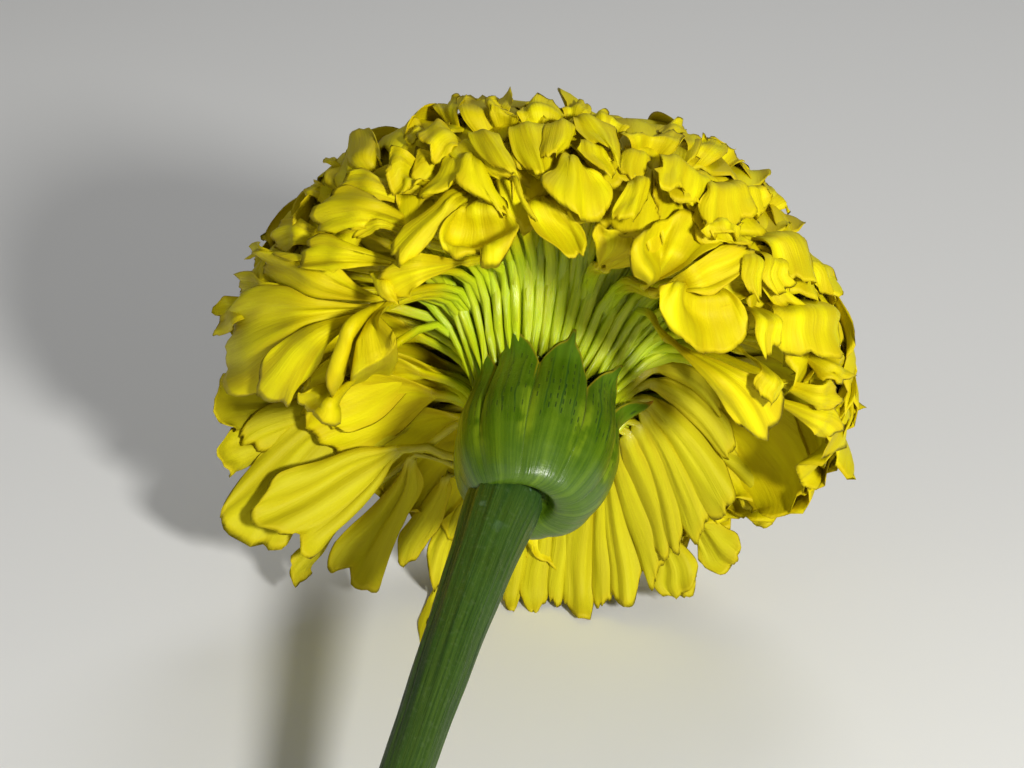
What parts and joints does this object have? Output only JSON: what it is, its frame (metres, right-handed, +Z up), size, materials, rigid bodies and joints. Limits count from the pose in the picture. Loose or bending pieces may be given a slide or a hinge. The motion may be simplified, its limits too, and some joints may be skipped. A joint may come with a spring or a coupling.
{
  "type": "double marigold flower",
  "caption": "Picked double marigold bloom lying on its side: ruffled ray florets round a domed head, toothed green cup, ribbed stem with a plain cut end.",
  "frame": {"origin": "on the surface the flower lies on, under the middle of its bounding box", "axes": "+Y along the flower from the cut end of the stem to the crown of the bloom, +Z up, +X to the right of someone who looks along +Y"},
  "size_m": [0.0845, 0.1534, 0.0806],
  "materials": {
    "stem_skin": "satin, fine lengthwise ribs",
    "bract_green": "waxy, ribbed",
    "pale_pith": "matt",
    "petal_yellow": "soft satin, pleated"
  },
  "bodies": {
    "root": {"peduncle": "stem_skin", "involucre": "bract_green", "receptacle": "pale_pith", "ray_florets": "petal_yellow"}
  },
  "joints": []
}
